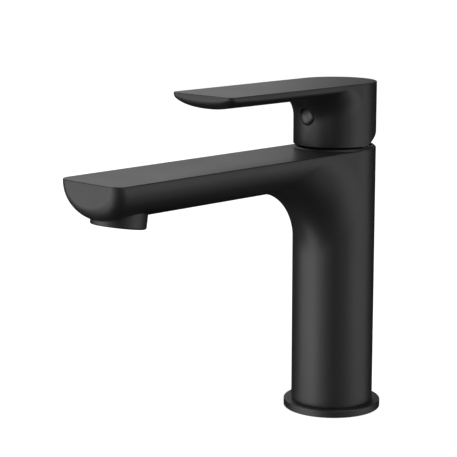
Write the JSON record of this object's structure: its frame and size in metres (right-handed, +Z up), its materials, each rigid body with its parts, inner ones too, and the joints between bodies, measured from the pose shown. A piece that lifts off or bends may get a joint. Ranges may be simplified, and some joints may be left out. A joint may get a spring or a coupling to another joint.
{
  "type": "single-lever basin mixer tap",
  "caption": "Matt black single-lever basin mixer with a round column, straight flat-topped spout, flat lever blade and a ceramic disc cartridge.",
  "frame": {"origin": "centre of the base on the deck plane, on the column axis", "axes": "+Z up along the column, -Y along the spout towards the user, +X to the right seen from behind the tap"},
  "size_m": [0.05, 0.19, 0.1696],
  "materials": {
    "black_coat": "satin matt black coat on cast brass",
    "rubber": "matt",
    "steel": "machined",
    "black_plastic": "moulded",
    "brass": "turned, then black-oxidised",
    "white_plastic": "moulded",
    "grey_plastic": "moulded",
    "ceramic": "ground and lapped"
  },
  "bodies": {
    "fixed_body": {"body": "black_coat", "base_ring": "black_coat", "base_seal": "rubber", "lock_nut": "brass", "cartridge_housing": "black_plastic", "housing_o_ring": "rubber", "glide_ring": "white_plastic", "fixed_disc": "ceramic", "disc_seal": "rubber", "cartridge_base": "grey_plastic", "port_seals": "rubber", "aerator_cage": "black_plastic", "aerator_insert": "grey_plastic", "aerator_screen": "grey_plastic", "aerator_washer": "rubber"},
    "turning_rotor": {"rotor": "grey_plastic", "tilt_pin": "steel"},
    "lever_group": {"lever": "black_coat", "set_screw": "steel", "indicator_button": "black_plastic", "stem": "steel"},
    "disc_group": {"disc_carrier": "grey_plastic", "moving_disc": "ceramic"}
  },
  "joints": [
    {"name": "lever_swing", "type": "hinge", "parent": "fixed_body", "child": "turning_rotor", "pos_m": [0, 0, 0.1448], "axis": [0, 0, 1], "range_deg": [-45, 45]},
    {"name": "lever_tilt", "type": "hinge", "parent": "turning_rotor", "child": "lever_group", "pos_m": [0, 0, 0.1448], "axis": [-1, 0, 0], "range_deg": [0, 24]},
    {"name": "disc_slide", "type": "slide", "parent": "turning_rotor", "child": "disc_group", "axis": [0, -1, 0], "range_m": [0, 0.0046]}
  ],
  "couplings": [
    {"joint": "disc_slide", "follows": "lever_tilt", "m_per_rad": 0.01098}
  ]
}
